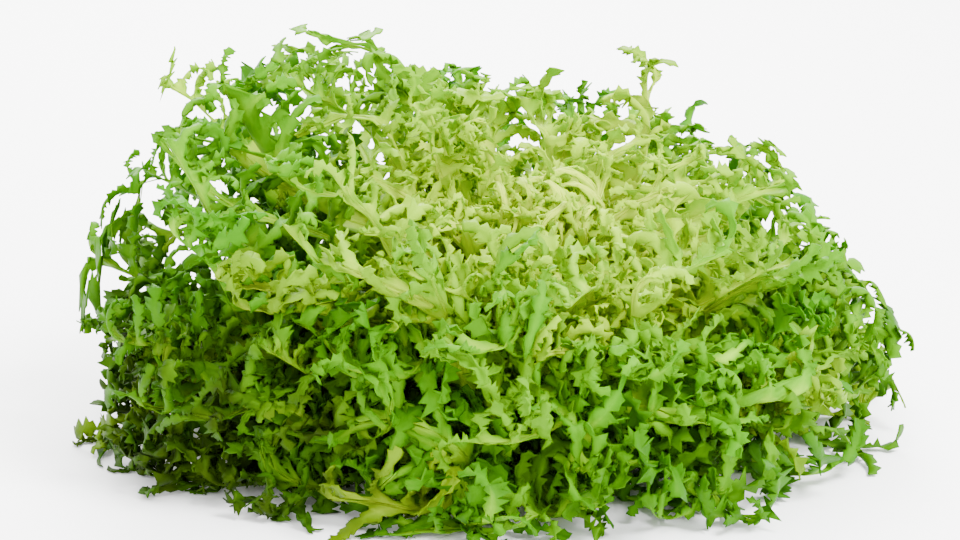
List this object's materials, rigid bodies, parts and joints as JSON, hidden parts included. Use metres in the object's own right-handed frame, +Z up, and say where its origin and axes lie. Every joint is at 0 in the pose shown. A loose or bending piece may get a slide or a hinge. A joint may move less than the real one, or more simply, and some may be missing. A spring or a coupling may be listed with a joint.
{
  "type": "curly endive",
  "caption": "Head of curly endive standing on its cut butt, with frilled green leaves in whorls round a pale leaning heart.",
  "frame": {"origin": "bottom centre of the whole head, on the surface it stands on", "axes": "+Z up, +X along the head's widest side, front of the head (towards which its heart leans) towards -Y"},
  "size_m": [0.3228, 0.2966, 0.154],
  "materials": {
    "stem": "pale moist stem flesh with a faintly browned cut",
    "outer_leaf": "dark green frilled leaf, satin, slightly translucent",
    "middle_leaf": "bright green frilled leaf, satin, translucent",
    "inner_leaf": "yellow-green frilled leaf, satin, translucent",
    "heart_leaf": "pale yellow frilled leaf, satin, translucent",
    "heart": "pale cream-yellow furled heart, satin, translucent"
  },
  "bodies": {
    "root": {"heart": "heart", "heart_leaf_01": "heart_leaf", "heart_leaf_02": "heart_leaf", "heart_leaf_03": "heart_leaf", "heart_leaf_04": "heart_leaf", "heart_leaf_05": "heart_leaf", "heart_leaf_06": "heart_leaf", "heart_leaf_07": "heart_leaf", "heart_leaf_08": "heart_leaf", "inner_leaf_01": "inner_leaf", "inner_leaf_02": "inner_leaf", "inner_leaf_03": "inner_leaf", "inner_leaf_04": "inner_leaf", "inner_leaf_05": "inner_leaf", "inner_leaf_06": "inner_leaf", "inner_leaf_07": "inner_leaf", "inner_leaf_08": "inner_leaf", "inner_leaf_09": "inner_leaf", "inner_leaf_10": "inner_leaf", "inner_leaf_11": "inner_leaf", "inner_leaf_12": "inner_leaf", "middle_leaf_01": "middle_leaf", "middle_leaf_02": "middle_leaf", "middle_leaf_03": "middle_leaf", "middle_leaf_04": "middle_leaf", "middle_leaf_05": "middle_leaf", "middle_leaf_06": "middle_leaf", "middle_leaf_07": "middle_leaf", "middle_leaf_08": "middle_leaf", "middle_leaf_09": "middle_leaf", "middle_leaf_10": "middle_leaf", "middle_leaf_11": "middle_leaf", "middle_leaf_12": "middle_leaf", "middle_leaf_13": "middle_leaf", "middle_leaf_14": "middle_leaf", "middle_leaf_15": "middle_leaf", "middle_leaf_16": "middle_leaf", "middle_leaf_17": "middle_leaf", "middle_leaf_18": "middle_leaf", "middle_leaf_19": "middle_leaf", "middle_leaf_20": "middle_leaf", "middle_leaf_21": "middle_leaf", "middle_leaf_22": "middle_leaf", "outer_leaf_01": "outer_leaf", "outer_leaf_02": "outer_leaf", "outer_leaf_03": "outer_leaf", "outer_leaf_04": "outer_leaf", "outer_leaf_05": "outer_leaf", "outer_leaf_06": "outer_leaf", "outer_leaf_07": "outer_leaf", "outer_leaf_08": "outer_leaf", "outer_leaf_09": "outer_leaf", "outer_leaf_10": "outer_leaf", "outer_leaf_11": "outer_leaf", "outer_leaf_12": "outer_leaf", "outer_leaf_13": "outer_leaf", "outer_leaf_14": "outer_leaf", "outer_leaf_15": "outer_leaf", "outer_leaf_16": "outer_leaf", "stem": "stem"}
  },
  "joints": []
}
